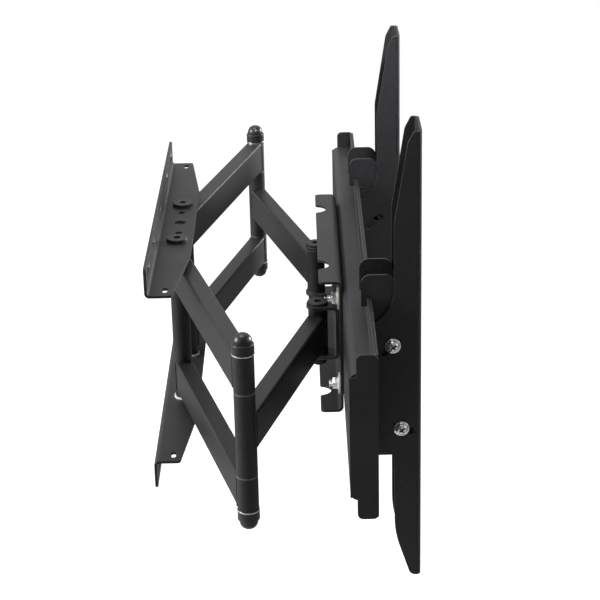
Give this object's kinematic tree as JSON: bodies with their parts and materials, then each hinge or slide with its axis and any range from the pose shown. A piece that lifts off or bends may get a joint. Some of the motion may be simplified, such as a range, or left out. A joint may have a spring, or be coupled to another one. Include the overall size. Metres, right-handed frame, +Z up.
{
  "type": "television wall mount",
  "caption": "Full motion television wall mount: folding twin arms on wall angles carry a railed panel with hooked, tilting screen brackets.",
  "frame": {"origin": "centre of the wall bolt pattern, on the wall plane", "axes": "+X to the right of someone who faces the screen, +Y into the wall, +Z up"},
  "size_m": [0.75, 0.2909, 0.5149],
  "materials": {
    "black_powder_coat": "fine textured matt black powder coat on sheet and tube steel",
    "black_caps": "moulded black push-on caps",
    "zinc_steel": "bright zinc plated fasteners",
    "chrome_screws": "bright nickel plated pan head screws",
    "nylon": "natural white nylon bushes and spacers"
  },
  "bodies": {
    "wall": {"wall_bracket_top": "black_powder_coat", "wall_bracket_bottom": "black_powder_coat", "left_wall_bolt": "black_powder_coat", "right_wall_bolt": "black_powder_coat", "wall_nuts": "zinc_steel", "wall_washers": "black_powder_coat"},
    "left_rear_arm": {"left_wall_post": "black_powder_coat", "left_wall_bushes": "nylon", "left_upper_tube": "black_powder_coat", "left_lower_tube": "black_powder_coat", "left_elbow_knuckles": "black_powder_coat", "left_elbow_pin": "zinc_steel", "left_elbow_washers": "zinc_steel", "left_elbow_caps": "black_caps"},
    "left_forearm": {"left_forearm_tube": "black_powder_coat", "left_forearm_elbow_knuckle": "black_powder_coat", "left_elbow_bushes": "nylon", "left_head_knuckle": "black_powder_coat", "left_head_bushes": "nylon"},
    "right_rear_arm": {"right_wall_post": "black_powder_coat", "right_wall_bushes": "nylon", "right_upper_tube": "black_powder_coat", "right_lower_tube": "black_powder_coat", "right_elbow_knuckles": "black_powder_coat", "right_elbow_pin": "zinc_steel", "right_elbow_washers": "zinc_steel", "right_elbow_caps": "black_caps"},
    "right_forearm": {"right_forearm_tube": "black_powder_coat", "right_forearm_elbow_knuckle": "black_powder_coat", "right_elbow_bushes": "nylon", "right_head_knuckle": "black_powder_coat", "right_head_bushes": "nylon"},
    "head": {"head_channel": "black_powder_coat", "left_pivot_yoke": "black_powder_coat", "right_pivot_yoke": "black_powder_coat", "left_head_bolt": "black_powder_coat", "right_head_bolt": "black_powder_coat", "head_nuts": "zinc_steel"},
    "panel": {"screen_panel": "black_powder_coat", "upper_rail": "black_powder_coat", "lower_rail": "black_powder_coat", "left_end_plate": "black_powder_coat", "right_end_plate": "black_powder_coat", "level_bolts": "zinc_steel", "level_washers": "zinc_steel", "level_nuts": "zinc_steel"},
    "left_hook": {"left_hook_bracket": "black_powder_coat", "left_tilt_screws": "chrome_screws", "left_tilt_spacers": "nylon", "left_tilt_nuts": "zinc_steel", "left_safety_screw": "zinc_steel"},
    "left_screen": {"left_screen_bracket": "black_powder_coat"},
    "right_hook": {"right_hook_bracket": "black_powder_coat", "right_tilt_screws": "chrome_screws", "right_tilt_spacers": "nylon", "right_tilt_nuts": "zinc_steel", "right_safety_screw": "zinc_steel"},
    "right_screen": {"right_screen_bracket": "black_powder_coat"}
  },
  "joints": [
    {"name": "left_wall_pivot", "type": "hinge", "parent": "wall", "child": "left_rear_arm", "pos_m": [-0.061, -0.0248, 0], "axis": [0, 0, 1], "range_deg": [-12, 39.5]},
    {"name": "left_elbow", "type": "hinge", "parent": "left_rear_arm", "child": "left_forearm", "pos_m": [-0.35498, -0.10605, 0], "axis": [0, 0, 1], "range_deg": [-82, 25]},
    {"name": "left_head_pivot", "type": "hinge", "parent": "left_forearm", "child": "head", "pos_m": [-0.095, -0.18255, 0], "axis": [0, 0, 1], "range_deg": [-13, 42.5]},
    {"name": "right_wall_pivot", "type": "hinge", "parent": "wall", "child": "right_rear_arm", "pos_m": [0.061, -0.0248, 0], "axis": [0, 0, 1], "range_deg": [-39.5, 12]},
    {"name": "right_elbow", "type": "hinge", "parent": "right_rear_arm", "child": "right_forearm", "pos_m": [0.35498, -0.10605, 0], "axis": [0, 0, 1], "range_deg": [-25, 82]},
    {"name": "panel_level", "type": "hinge", "parent": "head", "child": "panel", "pos_m": [0, -0.20925, 0], "axis": [0, 1, 0], "range_deg": [-3, 3]},
    {"name": "left_bracket_slide", "type": "slide", "parent": "panel", "child": "left_hook", "axis": [-1, 0, 0], "range_m": [-0.15, 0.14]},
    {"name": "left_tilt", "type": "hinge", "parent": "left_hook", "child": "left_screen", "pos_m": [-0.2, -0.29085, -0.0124], "axis": [1, 0, 0], "range_deg": [-5, 12]},
    {"name": "right_bracket_slide", "type": "slide", "parent": "panel", "child": "right_hook", "axis": [1, 0, 0], "range_m": [-0.15, 0.14]},
    {"name": "right_tilt", "type": "hinge", "parent": "right_hook", "child": "right_screen", "pos_m": [0.2, -0.29085, -0.0124], "axis": [1, 0, 0], "range_deg": [-5, 12]}
  ],
  "couplings": [
    {"joint": "left_elbow", "follows": "left_wall_pivot", "ratio": -2.0675},
    {"joint": "left_head_pivot", "follows": "left_wall_pivot", "ratio": 1.0675},
    {"joint": "right_wall_pivot", "follows": "left_wall_pivot", "ratio": -1},
    {"joint": "right_elbow", "follows": "left_wall_pivot", "ratio": 2.0675}
  ]
}
